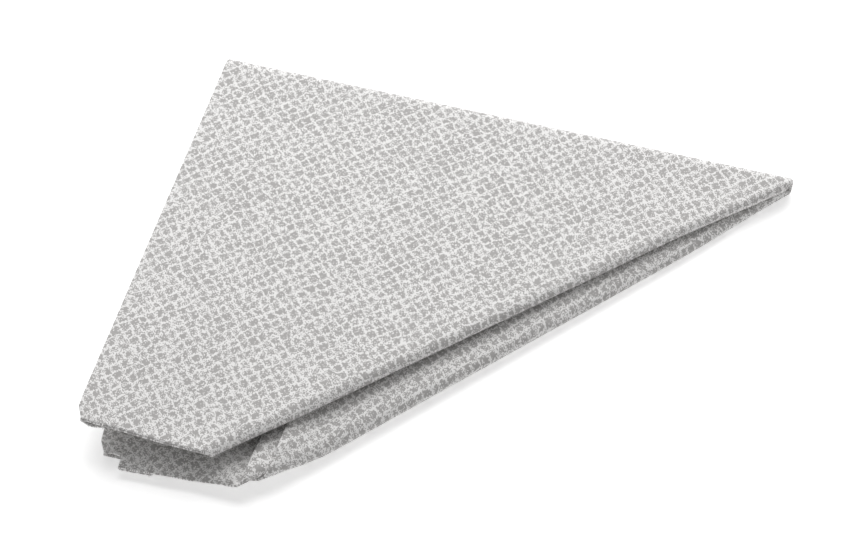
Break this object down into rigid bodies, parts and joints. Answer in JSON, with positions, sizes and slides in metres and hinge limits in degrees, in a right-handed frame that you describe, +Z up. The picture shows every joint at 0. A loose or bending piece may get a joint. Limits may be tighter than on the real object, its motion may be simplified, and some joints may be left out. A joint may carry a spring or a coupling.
{
  "type": "folded cloth napkin",
  "caption": "Hemmed jacquard cloth napkin folded flat to a point, for laying on a table or plate.",
  "frame": {"origin": "centre of the bounding box's bottom face, on the surface the napkin lies on", "axes": "+X along the middle fold, from the hemmed end towards the pointed tip; +Y from the open edges towards the middle fold; +Z up, out of the upper face"},
  "size_m": [0.2552, 0.2068, 0.0191],
  "materials": {
    "jacquard": "matte woven cotton jacquard"
  },
  "bodies": {
    "root": {"napkin": "jacquard"}
  },
  "joints": []
}
